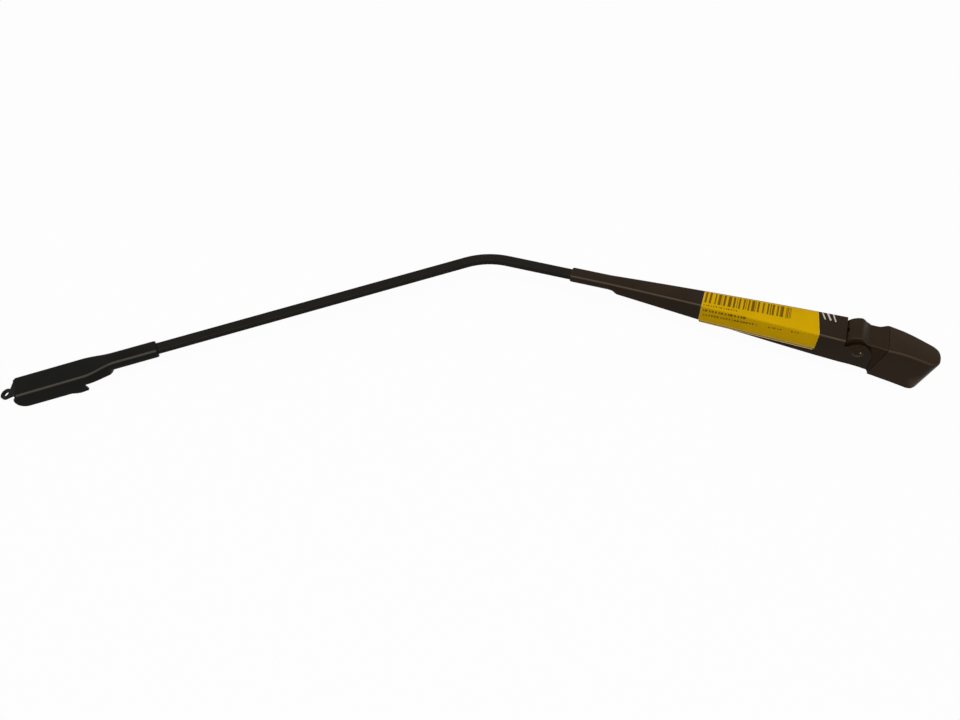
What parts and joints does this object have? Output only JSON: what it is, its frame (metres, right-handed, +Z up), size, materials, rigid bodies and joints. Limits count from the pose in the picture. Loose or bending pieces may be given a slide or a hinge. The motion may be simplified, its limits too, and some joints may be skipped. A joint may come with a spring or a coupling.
{
  "type": "windscreen wiper arm",
  "caption": "Cranked car wiper arm with a cast mounting head under a cap, a spring-loaded folded channel, a flat bent rod and a blade clip.",
  "frame": {"origin": "spindle axis at the underside of the mounting head", "axes": "+Z up along the spindle, away from the car; +X along the folded channel, from the spindle towards the blade; +Y to the side that the elbow turns the rod to"},
  "size_m": [0.6485, 0.2622, 0.0399],
  "materials": {
    "black_painted_metal": "satin black paint with worn edges",
    "black_plastic": "fine-grained moulded black plastic",
    "acetal": "smooth off-white bearing plastic",
    "plated_steel": "dull zinc-plated steel",
    "yellow_paper": "matt coated yellow paper, worn at its edges"
  },
  "bodies": {
    "head": {"mounting_head": "black_painted_metal", "spindle_cap": "black_plastic", "hinge_bush_near": "acetal", "hinge_bush_far": "acetal", "spring_anchor_pin": "plated_steel"},
    "arm": {"arm_channel": "black_painted_metal", "rod": "black_painted_metal", "blade_clip": "black_painted_metal", "hinge_pin": "black_painted_metal", "paper_label": "yellow_paper"},
    "hook": {"spring_hook": "plated_steel", "tension_spring": "plated_steel"}
  },
  "joints": [
    {"name": "arm_hinge", "type": "hinge", "parent": "head", "child": "arm", "pos_m": [0.0358, -0.002, 0.0247], "axis": [0, -1, 0], "range_deg": [0, 73]},
    {"name": "hook_pivot", "type": "hinge", "parent": "head", "child": "hook", "pos_m": [0.0299, -0.002, 0.02057], "axis": [0, -1, 0], "range_deg": [0, 70]}
  ],
  "couplings": [
    {"joint": "hook_pivot", "follows": "arm_hinge", "ratio": 0.956}
  ]
}
